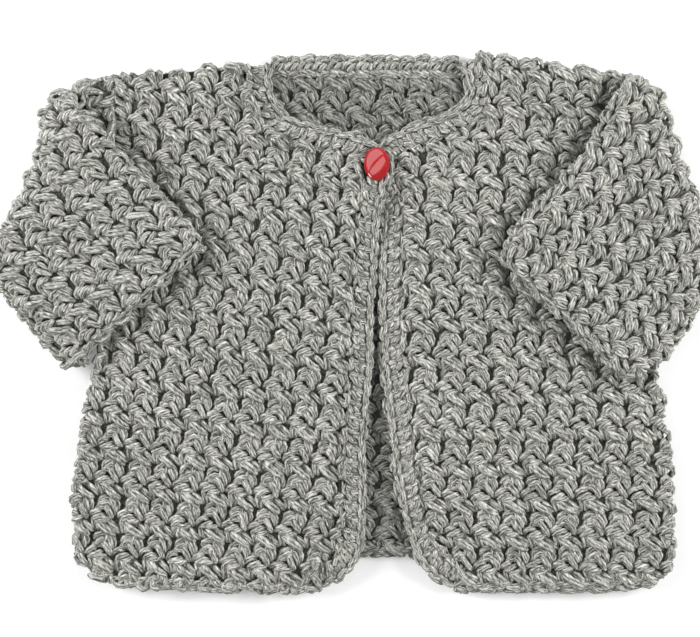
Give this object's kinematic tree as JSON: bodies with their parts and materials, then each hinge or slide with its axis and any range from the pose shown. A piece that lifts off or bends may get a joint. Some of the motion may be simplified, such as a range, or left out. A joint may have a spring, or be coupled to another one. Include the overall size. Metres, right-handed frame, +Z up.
{
  "type": "baby cardigan",
  "caption": "Short, wide crocheted baby cardigan in thick heathered yarn, laid flat with its sleeves folded over the fronts, closed at the round neck by a button.",
  "frame": {"origin": "on the surface the garment lies on, under the middle of its outline", "axes": "+X towards the wearer's left sleeve, +Y from the hem to the neck, +Z up out of the fronts"},
  "size_m": [0.336, 0.2522, 0.0216],
  "materials": {
    "grey_yarn": "matte, hairy, light warm grey heathered yarn in thick crochet stitches",
    "red_plastic": "glossy deep red, polished dome"
  },
  "bodies": {
    "root": {"back": "grey_yarn", "back_neck_band": "grey_yarn", "right_front": "grey_yarn", "left_front": "grey_yarn", "right_front_band": "grey_yarn", "left_front_band": "grey_yarn", "right_sleeve": "grey_yarn", "left_sleeve": "grey_yarn", "button": "red_plastic", "button_shank": "red_plastic"}
  },
  "joints": []
}
